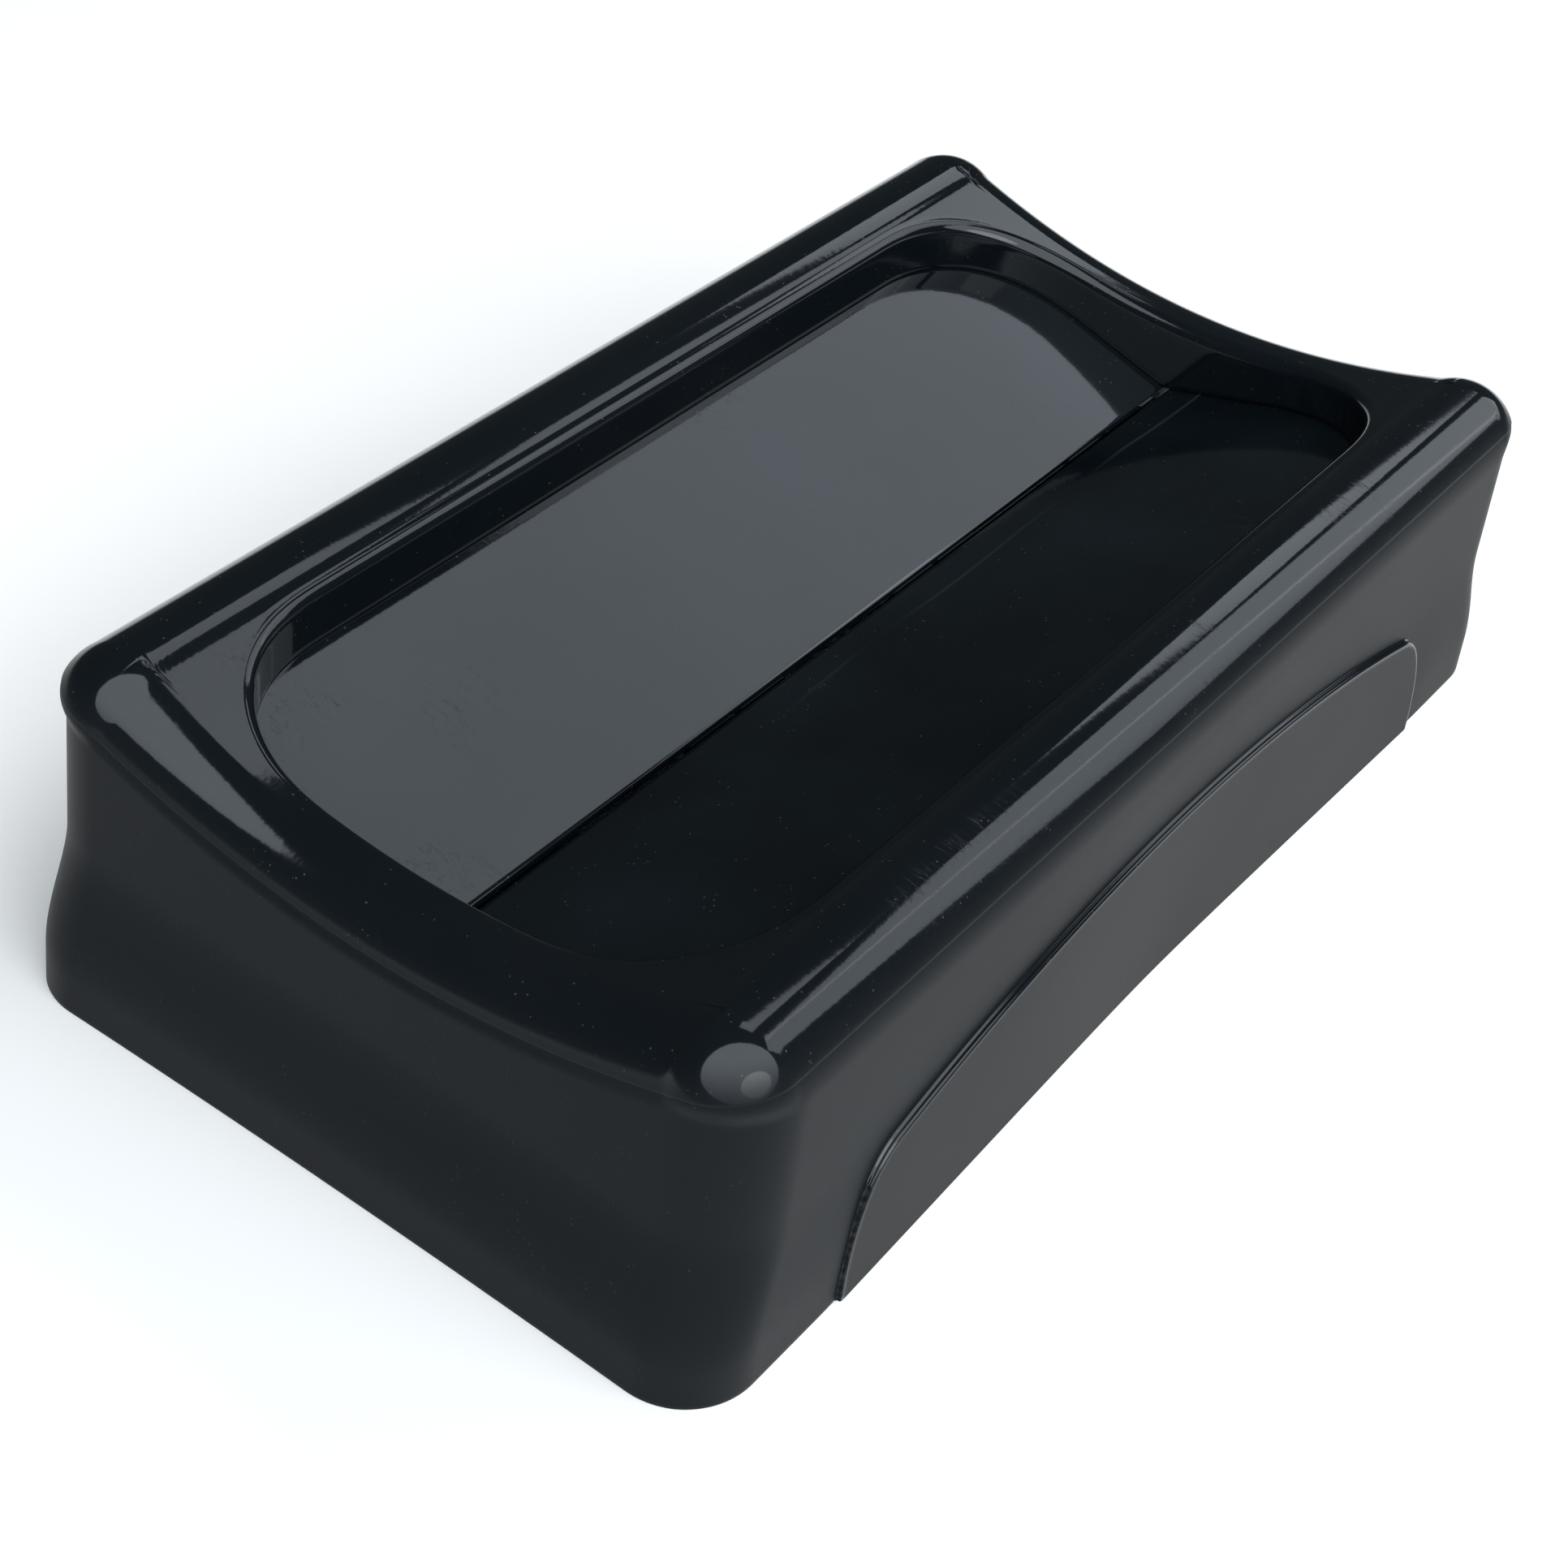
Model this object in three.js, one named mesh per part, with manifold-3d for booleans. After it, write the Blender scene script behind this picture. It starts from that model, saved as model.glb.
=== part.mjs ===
// Swing lid for a slim rectangular waste container: one moulded shell with a sunk opening,
// closed by two sprung flaps that share a steel hinge rod along the valley between them.
// Millimetres, +Z up. Origin: centre of the lid's bottom rim. +X along the lid, -Y the front.
import * as THREE from 'three';
import { mergeVertices } from 'three/addons/utils/BufferGeometryUtils.js';
import Module from 'manifold-3d';

const wasm = await Module();
wasm.setup();

// ---------- driving dimensions ----------
const BOTTOM_HALF = [260, 142.8]; // bottom rim, half length and half width
const TOP_HALF = [247, 139.3]; // outside of the walls where the edge rolls begin
const TOP_CORNER = 28; // plan radius of the corners at the top
const BOTTOM_CORNER = 27;
const WALL = 3;
const STEP_TOP = 62; // the skirt widens below this height ...
const STEP_BOTTOM = 15; // ... and is full width from here down, to go over the container's rim
const STEP_OUT = [7.7, 1.6];
const CROWN = 129; // top of the long edge rolls
const ROLL = 22.6; // radius of the long edge rolls
const BEAD = [225.4, 117.3, CROWN - ROLL]; // end of a long roll's axis, where a ball closes it
const END_ROLL = 18.5; // radius of the end rolls at the middle of each short side
const SADDLE = 106; // height of the short sides at the middle
const SADDLE_RISE = 0.00185; // their height grows with the square of y
const LONG_BOW = 4.9; // the long walls bow inwards by this at the bottom
const END_BOW = 1.5;

const OPENING_HALF = [219.6, 100.6];
const OPENING_CORNER = 61.8;
const OPENING_POWER = 2.4; // superellipse power of the opening's corners
const LIP = [4.4, 4.9]; // rounding of the opening's edge, across and down

const VALLEY = 77; // height of the collar's bottom edge at the middle of its ends
const SLOPE = 0.28; // rise of the flaps from the valley outwards
const FLAP_THICK = 3;
const FLAP_GAP = 0.5; // flap top to the collar's bottom edge
const FLAP_REACH = 4.5; // how far a flap passes under the collar
const FLAP_HALF_GAP = 1.3; // half of the slot between the two flaps
const FLAP_RIM = [2.6, 6]; // stiffening rim under a flap, thickness and depth
const RIB = [2.4, 6];
const EAR = { x: 120, width: 20, reach: 116 }; // tabs that meet the stop bumpers

const AXIS_Z = 67.6;
const ROD_RADIUS = 2.5;
const ROD_HALF = 235;
const BORE_RADIUS = 2.85;
const KNUCKLE = { radius: 5, length: 24, pairs: [-180, -60, 60, 180], offset: 14 };
const WASHER = { inner: 2.85, outer: 6, thick: 1.4, x: 225.9 };
const SPRING = { radius: 4.75, wire: 0.6, turns: 5, pitch: 1.65, x: 217, leg: 30 };

const LUG = { inner: 227, outer: 236, half: 12, bottom: 58, top: 101 };
const LUG_RIB = { thick: 3, end: 246.3, bottom: 62, top: 87, gusset: 83 };
const SCREW = { y: 7.6, shank: 1.5, head: 3, rise: 2.1, length: 13, hole: 1.85, gap: 0.3 };
const RETAINER = { thick: 3.2, gap: 0.3, tongue: 2.3 };
const BUMPER = { x: 120, y: 110, bottom: 108.8, radius: 4, head: 2.5, stem: 1.4, grip: 4 };
const POST = { radius: 4, hole: 1.8, top: 125.4 };

const ARCH = { half: 190, shoulder: 165, crown: 75.4, radius: 640, end: 2.5 };
const ARCH_FACE = [144.6, 0.03]; // distance of the panel's face from the middle, and its draft
const STEPS = { end: 14, long: 12, corner: 8 };

const SEGMENTS = 24;

// ---------- solids ----------
function solid(geometry) {
  const bare = geometry.index ? geometry.toNonIndexed() : geometry.clone();
  bare.deleteAttribute('normal');
  bare.deleteAttribute('uv');
  const merged = mergeVertices(bare, 1e-4);
  const index = merged.index.array;
  const kept = [];
  for (let i = 0; i < index.length; i += 3) {
    const [a, b, c] = [index[i], index[i + 1], index[i + 2]];
    if (a !== b && b !== c && c !== a) kept.push(a, b, c);
  }
  const mesh = new wasm.Mesh({
    numProp: 3,
    vertProperties: new Float32Array(merged.attributes.position.array),
    triVerts: new Uint32Array(kept),
  });
  return new wasm.Manifold(mesh);
}

function toGeometry(manifold) {
  const mesh = manifold.getMesh();
  const geometry = new THREE.BufferGeometry();
  geometry.setAttribute('position', new THREE.Float32BufferAttribute(mesh.vertProperties, 3));
  geometry.setIndex(Array.from(mesh.triVerts));
  geometry.computeVertexNormals();
  return geometry;
}

function block(x, y, z) {
  const box = new THREE.BoxGeometry(x[1] - x[0], y[1] - y[0], z[1] - z[0]);
  box.translate((x[0] + x[1]) / 2, (y[0] + y[1]) / 2, (z[0] + z[1]) / 2);
  return solid(box);
}

// a round bar along X, its axis on the hinge line
function barX(radius, x) {
  const bar = new THREE.CylinderGeometry(radius, radius, x[1] - x[0], SEGMENTS);
  bar.rotateZ(-Math.PI / 2);
  bar.translate((x[0] + x[1]) / 2, 0, AXIS_Z);
  return solid(bar);
}

function barZ(radius, x, y, z) {
  const bar = new THREE.CylinderGeometry(radius, radius, z[1] - z[0], SEGMENTS);
  bar.rotateX(Math.PI / 2);
  bar.translate(x, y, (z[0] + z[1]) / 2);
  return solid(bar);
}

// a turned piece standing on Z from an outline of [radius, height] pairs
function turned(outline) {
  const points = outline.map(([radius, height]) => new THREE.Vector2(radius, height));
  const lathe = new THREE.LatheGeometry(points, SEGMENTS);
  lathe.rotateX(Math.PI / 2);
  return lathe;
}

const clamp01 = (t) => Math.min(1, Math.max(0, t));
const ease = (t) => clamp01(t) ** 2 * (3 - 2 * clamp01(t));

// ---------- the shell's surface ----------
// points round a rounded rectangle, counter-clockwise from the right-hand end
function ring(half, corner, power = 2) {
  const core = [half[0] - corner, half[1] - corner];
  const points = [];
  for (let side = 0; side < 4; side += 1) {
    const [nx, ny] = [[1, 0], [0, 1], [-1, 0], [0, -1]][side];
    const [tx, ty] = [-ny, nx];
    const steps = side % 2 ? STEPS.long : STEPS.end;
    for (let i = 0; i < steps; i += 1) {
      const along = -1 + (2 * i) / steps;
      points.push([nx * half[0] + tx * along * core[0], ny * half[1] + ty * along * core[1]]);
    }
    for (let i = 0; i < STEPS.corner; i += 1) {
      const angle = (Math.PI / 2) * (i / STEPS.corner);
      const c = Math.cos(angle) ** (2 / power);
      const s = Math.sin(angle) ** (2 / power);
      points.push([
        (nx + tx) * core[0] + corner * (nx * c + tx * s),
        (ny + ty) * core[1] + corner * (ny * c + ty * s),
      ]);
    }
  }
  return points;
}

const widening = (z) => ease((STEP_TOP - z) / (STEP_TOP - STEP_BOTTOM));

// half size of the skirt's outside at a height, along X (0) or Y (1)
function skirtHalf(axis, z) {
  const draft = (BOTTOM_HALF[axis] - STEP_OUT[axis] - TOP_HALF[axis]) / (CROWN - ROLL);
  return TOP_HALF[axis] + draft * Math.max(0, CROWN - ROLL - z) + STEP_OUT[axis] * widening(z);
}

function bowed([x, y], z) {
  const fade = clamp01(1 - z / 100);
  const long = LONG_BOW * clamp01(1 - Math.hypot(x, 30) / 200) * fade;
  const end = END_BOW * clamp01(1 - (y / 130) ** 2) * fade;
  const isLong = Math.abs(y) > skirtHalf(1, z) - 8;
  const isEnd = Math.abs(x) > skirtHalf(0, z) - 8;
  return [x - (isEnd ? Math.sign(x) * end : 0), y - (isLong ? Math.sign(y) * long : 0), z];
}

function skirtRing(heights, inset) {
  const rings = new Map();
  return heights.map((z, i) => {
    const key = z.toFixed(3);
    if (!rings.has(key)) {
      const half = [skirtHalf(0, z) - inset, skirtHalf(1, z) - inset];
      const corner = TOP_CORNER + (BOTTOM_CORNER - TOP_CORNER) * widening(z) - inset;
      rings.set(key, ring(half, corner));
    }
    return bowed(rings.get(key)[i], z);
  });
}

const saddle = (y) => Math.min(CROWN, SADDLE + SADDLE_RISE * y * y);

// height of the lid's top inside the edge rolls: the long rolls stand on a trough along X
function topHeight([x, y]) {
  const distance = Math.hypot(Math.max(0, Math.abs(x) - BEAD[0]), Math.abs(y) - BEAD[1]);
  const roll = distance < ROLL ? BEAD[2] + Math.sqrt(ROLL ** 2 - distance ** 2) : 0;
  return Math.max(roll, saddle(y));
}

// how far a ray from inside a long roll runs before it leaves the roll, or 0 from outside it
function beadReach([x, y, z], [dx, dy, dz]) {
  const beyond = (t) => {
    const past = Math.max(0, Math.abs(x + t * dx) - BEAD[0]);
    return Math.hypot(past, Math.abs(y + t * dy) - BEAD[1], z + t * dz - BEAD[2]) - ROLL;
  };
  let [near, far] = [0, 2 * ROLL];
  if (beyond(near) > 0) return 0;
  for (let i = 0; i < 24; i += 1) {
    const middle = (near + far) / 2;
    if (beyond(middle) < 0) near = middle;
    else far = middle;
  }
  return near;
}

// the rows of points that, closed on themselves, make the shell's wall
function shellRows() {
  const outline = ring(TOP_HALF, TOP_CORNER);
  const endWeight = outline.map(([, y]) => clamp01(1 - (y / (TOP_HALF[1] - TOP_CORNER)) ** 2));
  const isEnd = outline.map(([x]) => Math.abs(x) > TOP_HALF[0] - 0.01);
  const radius = endWeight.map((w, i) => ROLL - (isEnd[i] ? (ROLL - END_ROLL) * w : 0));
  const crown = outline.map(([, y]) => saddle(y));
  const wallTop = crown.map((z, i) => z - radius[i]);
  const centre = radius.map((r, i) => {
    const inner = ring([TOP_HALF[0] - r, TOP_HALF[1] - r], TOP_CORNER - r);
    return inner[i];
  });
  const lipStart = ring(OPENING_HALF.map((h) => h + LIP[0]), OPENING_CORNER + LIP[0], OPENING_POWER);
  const mouth = ring(OPENING_HALF, OPENING_CORNER, OPENING_POWER);
  const collarBack = ring(OPENING_HALF.map((h) => h + WALL), OPENING_CORNER + WALL, OPENING_POWER);
  const lipHeight = lipStart.map(topHeight);
  const mix = (a, b, t) => a + (b - a) * t;

  const skirt = (share, inset) => skirtRing(wallTop.map((z) => z * share), inset);
  const outward = outline.map(([x, y], i) => {
    const [dx, dy] = [x - centre[i][0], y - centre[i][1]];
    return [dx / Math.hypot(dx, dy), dy / Math.hypot(dx, dy)];
  });
  const roll = (degrees, inset) => outline.map((_, i) => {
    const angle = THREE.MathUtils.degToRad(degrees);
    const across = outward[i].map((n) => n * Math.cos(angle));
    const ray = [...across, Math.sin(angle)];
    const start = [...centre[i], wallTop[i]];
    const reach = Math.max(radius[i], beadReach(start, ray)) - inset;
    return start.map((value, k) => value + ray[k] * reach);
  });
  const neck = (down) => skirtRing(wallTop.map((z) => z - down), 0).map(([x, y, z], i) => {
    const start = [...centre[i], z];
    const ray = [...outward[i], 0];
    const reach = Math.max(Math.hypot(x - start[0], y - start[1]), beadReach(start, ray));
    return start.map((value, k) => value + ray[k] * reach);
  });
  const top = (t, down) => lipStart.map(([x, y], i) => [
    mix(centre[i][0], x, t),
    mix(centre[i][1], y, t),
  ]).map(([x, y]) => [x, y, topHeight([x, y]) - down]);
  const lip = (degrees) => lipStart.map(([x, y], i) => {
    const angle = THREE.MathUtils.degToRad(degrees);
    const across = Math.sin(angle);
    const down = (1 - Math.cos(angle)) * LIP[1];
    return [mix(x, mouth[i][0], across), mix(y, mouth[i][1], across), lipHeight[i] - down];
  });
  const onValley = (points) => points.map(([x, y]) => [x, y, VALLEY + SLOPE * Math.abs(y)]);
  const collarTop = collarBack.map(([x, y], i) => [x, y, lipHeight[i] - WALL - 1.2]);

  const shares = [0, 0.14, 0.28, 0.42, 0.56];
  return [
    ...shares.map((share) => skirt(share, 0)),
    ...[16, 10, 5].map(neck),
    ...[0, 20, 40, 60, 80, 90].map((degrees) => roll(degrees, 0)),
    ...[0.33, 0.67, 1].map((t) => top(t, 0)),
    ...[30, 60, 90].map(lip),
    onValley(mouth),
    onValley(collarBack),
    collarTop,
    top(0.5, WALL),
    ...[90, 60, 30, 0].map((degrees) => roll(degrees, WALL)),
    ...shares.toReversed().map((share) => skirt(share, WALL)),
  ];
}

function shellSurface() {
  const rows = shellRows();
  const [rowCount, count] = [rows.length, rows[0].length];
  const geometry = new THREE.BufferGeometry();
  geometry.setAttribute('position', new THREE.Float32BufferAttribute(rows.flat(2), 3));
  const index = [];
  for (let r = 0; r < rowCount; r += 1) {
    const next = (r + 1) % rowCount;
    for (let i = 0; i < count; i += 1) {
      const j = (i + 1) % count;
      const [a, b, c, d] = [r * count + i, r * count + j, next * count + j, next * count + i];
      index.push(a, b, c, a, c, d);
    }
  }
  geometry.setIndex(index);
  return geometry;
}

// ---------- the shell's features ----------
function archTop(x) {
  const distance = Math.abs(x);
  const arc = ARCH.crown - ARCH.radius + Math.sqrt(ARCH.radius ** 2 - distance ** 2);
  const past = clamp01((distance - ARCH.shoulder) / (ARCH.half - ARCH.shoulder));
  return Math.max(ARCH.end, arc * Math.sqrt(1 - past ** 2.6));
}

// raised panel on a long wall: side is -1 at the front and 1 at the back
function archPanel(side) {
  const box = new THREE.BoxGeometry(2, 2, 1, 28, 1, 3);
  const place = box.attributes.position;
  for (let i = 0; i < place.count; i += 1) {
    const x = ARCH.half * Math.sin((place.getX(i) * Math.PI) / 2);
    const z = (place.getZ(i) + 0.5) * archTop(x);
    const isFace = place.getY(i) > 0;
    const y = isFace ? ARCH_FACE[0] - ARCH_FACE[1] * z : skirtHalf(1, z) - WALL / 2;
    const bow = LONG_BOW * clamp01(1 - Math.hypot(x, 30) / 200) * clamp01(1 - z / 100);
    place.setXYZ(i, x * side, (y - bow) * side, z);
  }
  return solid(box);
}

// lug that carries one end of the rod, its slot open below; side is -1 left, 1 right
function lug(side) {
  const span = (a, b) => (side < 0 ? [-b, -a] : [a, b]);
  const x = span(LUG.inner, LUG.outer);
  const ribX = span(LUG.outer - 4, LUG_RIB.end);
  const gussetX = span(OPENING_HALF[0] + WALL / 2, LUG.inner + 1);
  const halfRib = LUG_RIB.thick / 2;
  let body = block(x, [-LUG.half, LUG.half], [LUG.bottom, LUG.top]);
  body = body.add(block(gussetX, [-halfRib, halfRib], [LUG_RIB.gusset, LUG.top]));
  for (const y of [-LUG.half + halfRib, LUG.half - halfRib]) {
    body = body.add(block(ribX, [y - halfRib, y + halfRib], [LUG_RIB.bottom, LUG_RIB.top]));
  }
  const through = [x[0] - 1, x[1] + 1];
  let cut = barX(BORE_RADIUS, through);
  cut = cut.add(block(through, [-BORE_RADIUS, BORE_RADIUS], [LUG.bottom - 1, AXIS_Z]));
  const middle = (x[0] + x[1]) / 2;
  for (const y of [-SCREW.y, SCREW.y]) {
    cut = cut.add(barZ(SCREW.hole, middle, y, [LUG.bottom - 1, LUG.bottom + SCREW.length]));
  }
  return body.subtract(cut);
}

function bumperPost(x, y) {
  const bottom = BUMPER.bottom + BUMPER.head + 0.2;
  const post = barZ(POST.radius, x, y, [bottom, POST.top]);
  return post.subtract(barZ(POST.hole, x, y, [bottom - 1, bottom + BUMPER.grip + 1]));
}

function shell() {
  let body = solid(shellSurface());
  for (const side of [-1, 1]) {
    body = body.add(archPanel(side));
    body = body.add(lug(side));
    for (const x of [-BUMPER.x, BUMPER.x]) body = body.add(bumperPost(x, side * BUMPER.y));
  }
  return toGeometry(body);
}

// ---------- flaps ----------
function outlineOf(points) {
  return new THREE.Shape(points.map(([x, y]) => new THREE.Vector2(x, y)));
}

// half of the opening's outline, grown by reach, from the slot outwards
function flapOutline(reach, start) {
  const half = OPENING_HALF.map((h) => h + reach);
  const corner = OPENING_CORNER + reach;
  const points = [[half[0], start]];
  for (const side of [1, -1]) {
    for (let i = 0; i <= 12; i += 1) {
      const angle = (Math.PI / 2) * ((side > 0 ? i : 12 - i) / 12);
      points.push([
        side * (half[0] - corner + corner * Math.cos(angle) ** (2 / OPENING_POWER)),
        half[1] - corner + corner * Math.sin(angle) ** (2 / OPENING_POWER),
      ]);
    }
  }
  points.push([-half[0], start]);
  return points;
}

// a flat piece drawn in plan and tilted to the flaps' slope; top is its depth under the flap's top
function tilted(points, top, depth) {
  const plate = new THREE.ExtrudeGeometry(outlineOf(points), { depth, bevelEnabled: false });
  const place = plate.attributes.position;
  for (let i = 0; i < place.count; i += 1) {
    const lift = VALLEY - FLAP_GAP - top - depth + SLOPE * place.getY(i);
    place.setZ(i, place.getZ(i) + lift);
  }
  return solid(plate);
}

const rectangle = (x, y) => [[x[0], y[0]], [x[1], y[0]], [x[1], y[1]], [x[0], y[1]]];

// the rear flap; the front one is the same moulding turned half round
function flap() {
  const edge = OPENING_HALF[1] + FLAP_REACH;
  let body = tilted(flapOutline(FLAP_REACH, FLAP_HALF_GAP), 0, FLAP_THICK);
  const outer = tilted(flapOutline(FLAP_REACH - 1, 12), FLAP_THICK - 0.5, FLAP_RIM[1]);
  const hollow = flapOutline(FLAP_REACH - 1 - FLAP_RIM[0], 10);
  const inner = tilted(hollow, FLAP_THICK - 1, FLAP_RIM[1] + 2);
  body = body.add(outer.subtract(inner));
  for (const centre of KNUCKLE.pairs) {
    const x = [centre - RIB[0] / 2 - KNUCKLE.offset, centre + RIB[0] / 2 - KNUCKLE.offset];
    body = body.add(tilted(rectangle(x, [7, edge - 3]), FLAP_THICK - 0.5, RIB[1]));
  }
  for (const x of [-EAR.x, EAR.x]) {
    const across = [x - EAR.width / 2, x + EAR.width / 2];
    body = body.add(tilted(rectangle(across, [edge - 4, EAR.reach]), 0, FLAP_THICK));
  }
  for (const centre of KNUCKLE.pairs) {
    const middle = centre - KNUCKLE.offset;
    const x = [middle - KNUCKLE.length / 2, middle + KNUCKLE.length / 2];
    body = body.add(barX(KNUCKLE.radius, x));
    body = body.add(block(x, [FLAP_HALF_GAP, 8], [AXIS_Z - 2.5, VALLEY - FLAP_GAP - 0.6]));
  }
  body = body.subtract(barX(BORE_RADIUS, [-OPENING_HALF[0] - 20, OPENING_HALF[0] + 20]));
  return toGeometry(body);
}

// ---------- hinge rod, springs and their holders ----------
function rod() {
  const bar = new THREE.CylinderGeometry(ROD_RADIUS, ROD_RADIUS, 2 * ROD_HALF, SEGMENTS);
  bar.rotateZ(Math.PI / 2);
  return bar;
}

function washer() {
  const { inner, outer, thick } = WASHER;
  const low = -thick / 2;
  const outline = [[inner, low], [outer, low], [outer, -low], [inner, -low], [inner, low]];
  const ringGeometry = turned(outline);
  ringGeometry.rotateY(Math.PI / 2);
  return ringGeometry;
}

// torsion spring on the hinge line: a tang towards the rod, the coil, and a leg under the rear flap
function spring() {
  const tilt = Math.atan(SLOPE);
  const last = Math.PI / 2 + tilt;
  const first = last + SPRING.turns * 2 * Math.PI;
  const per = 14;
  const count = SPRING.turns * per;
  const at = (angle, radius, x) =>
    new THREE.Vector3(x, radius * Math.cos(angle), radius * Math.sin(angle));
  const points = [at(first, ROD_RADIUS + 1, 0), at(first, SPRING.radius - 0.4, 0.1)];
  for (let i = 0; i <= count; i += 1) {
    const angle = first + ((last - first) * i) / count;
    points.push(at(angle, SPRING.radius, 0.3 + (SPRING.pitch * i) / per));
  }
  const end = points[points.length - 1];
  const along = new THREE.Vector3(0, Math.cos(tilt), Math.sin(tilt));
  for (const share of [0.2, 0.6, 1]) {
    points.push(end.clone().addScaledVector(along, share * SPRING.leg));
  }
  const section = new THREE.Shape();
  section.absarc(0, 0, SPRING.wire, 0, 2 * Math.PI);
  const path = new THREE.CatmullRomCurve3(points);
  return new THREE.ExtrudeGeometry(section, { extrudePath: path, steps: 84, curveSegments: 3 });
}

// plate under a lug, its tongue up the slot to hold the rod; drawn for the right-hand end
function retainer() {
  const x = [LUG.inner, LUG.outer];
  const top = LUG.bottom - RETAINER.gap;
  let body = block(x, [-LUG.half, LUG.half], [top - RETAINER.thick, top]);
  const tongueTop = AXIS_Z - ROD_RADIUS - RETAINER.gap;
  const tongueX = [x[0] + 0.5, x[1] - 0.5];
  body = body.add(block(tongueX, [-RETAINER.tongue, RETAINER.tongue], [top - 1, tongueTop]));
  const middle = (x[0] + x[1]) / 2;
  for (const y of [-SCREW.y, SCREW.y]) {
    body = body.subtract(barZ(SCREW.hole, middle, y, [top - RETAINER.thick - 1, top + 1]));
  }
  return toGeometry(body);
}

// pan-head screw standing head down on the origin
function screw() {
  const { shank, head, rise, length } = SCREW;
  const body = turned([
    [0, 0], [head * 0.55, 0], [head * 0.9, 0.6], [head, 1.3], [head, rise], [shank, rise],
    [shank, length], [shank * 0.4, length + 1.8], [0, length + 2],
  ]);
  const recess = new THREE.BoxGeometry(3, 0.8, 1.6);
  const cross = solid(recess).add(solid(recess.clone().rotateZ(Math.PI / 2)));
  return toGeometry(solid(body).subtract(cross));
}

function bumper() {
  const { radius, head, stem, grip } = BUMPER;
  return turned([
    [0, 0], [radius - 0.8, 0], [radius, 0.8], [radius, head], [stem, head],
    [stem, head + grip - 1], [stem * 0.5, head + grip], [0, head + grip],
  ]);
}

// ---------- assembly ----------
const finish = (color, roughness, metalness) =>
  new THREE.MeshStandardMaterial({ color, roughness, metalness });
const shellBlack = finish(0x17191c, 0.22, 0);
const flapBlack = finish(0x121418, 0.1, 0);
const steel = finish(0xb4b6b8, 0.32, 1);
const springSteel = finish(0x8d8f92, 0.35, 1);
const rubber = finish(0x1c1c1c, 0.85, 0);
const acetal = finish(0xe4e2da, 0.5, 0);

const lid = new THREE.Group();

function part(name, geometry, material, place = [0, 0, 0], turn = 0) {
  const mesh = new THREE.Mesh(geometry, material);
  mesh.name = name;
  mesh.position.set(...place);
  mesh.rotation.z = turn;
  lid.add(mesh);
}

part('lid_shell', shell(), shellBlack);

const flapGeometry = flap();
part('rear_flap', flapGeometry, flapBlack);
part('front_flap', flapGeometry, flapBlack, [0, 0, 0], Math.PI);

part('hinge_rod', rod(), steel, [0, 0, AXIS_Z]);
const springGeometry = spring();
part('rear_flap_spring', springGeometry, springSteel, [-SPRING.x, 0, AXIS_Z]);
part('front_flap_spring', springGeometry, springSteel, [SPRING.x, 0, AXIS_Z], Math.PI);

const washerGeometry = washer();
const retainerGeometry = retainer();
const screwGeometry = screw();
for (const [name, side, turn] of [['left', -1, Math.PI], ['right', 1, 0]]) {
  part(`${name}_rod_washer`, washerGeometry, acetal, [side * WASHER.x, 0, AXIS_Z]);
  part(`${name}_rod_retainer`, retainerGeometry, shellBlack, [0, 0, 0], turn);
  for (const [end, y] of [['front', -SCREW.y], ['rear', SCREW.y]]) {
    const headZ = LUG.bottom - RETAINER.gap - RETAINER.thick - SCREW.rise - SCREW.gap;
    const place = [(side * (LUG.inner + LUG.outer)) / 2, y, headZ];
    part(`${name}_${end}_retainer_screw`, screwGeometry, steel, place);
  }
}

const bumperGeometry = bumper();
for (const [end, y] of [['front', -1], ['rear', 1]]) {
  for (const [name, x] of [['left', -1], ['right', 1]]) {
    const place = [x * BUMPER.x, y * BUMPER.y, BUMPER.bottom];
    part(`${end}_${name}_stop_bumper`, bumperGeometry, rubber, place);
  }
}

export default lid;
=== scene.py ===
"""Looks of a moulded swing lid for a slim waste container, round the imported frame, in metres."""
import math

import bmesh
import bpy
import numpy as np
from mathutils import Matrix, Vector


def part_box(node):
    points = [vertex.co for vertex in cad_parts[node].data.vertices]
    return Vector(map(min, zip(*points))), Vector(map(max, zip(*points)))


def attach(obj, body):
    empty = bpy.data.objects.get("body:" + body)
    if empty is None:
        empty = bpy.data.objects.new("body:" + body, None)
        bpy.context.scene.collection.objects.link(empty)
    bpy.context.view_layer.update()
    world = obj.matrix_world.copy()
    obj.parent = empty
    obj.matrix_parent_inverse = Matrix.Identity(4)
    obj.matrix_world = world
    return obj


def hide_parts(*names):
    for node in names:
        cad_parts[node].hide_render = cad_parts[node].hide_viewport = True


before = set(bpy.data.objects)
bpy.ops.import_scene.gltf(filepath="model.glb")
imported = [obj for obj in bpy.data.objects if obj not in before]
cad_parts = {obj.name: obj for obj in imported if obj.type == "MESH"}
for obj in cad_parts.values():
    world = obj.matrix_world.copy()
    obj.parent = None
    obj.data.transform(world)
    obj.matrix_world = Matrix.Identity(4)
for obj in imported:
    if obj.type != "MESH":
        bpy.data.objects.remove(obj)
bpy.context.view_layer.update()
bpy.ops.object.select_all(action="DESELECT")

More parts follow.
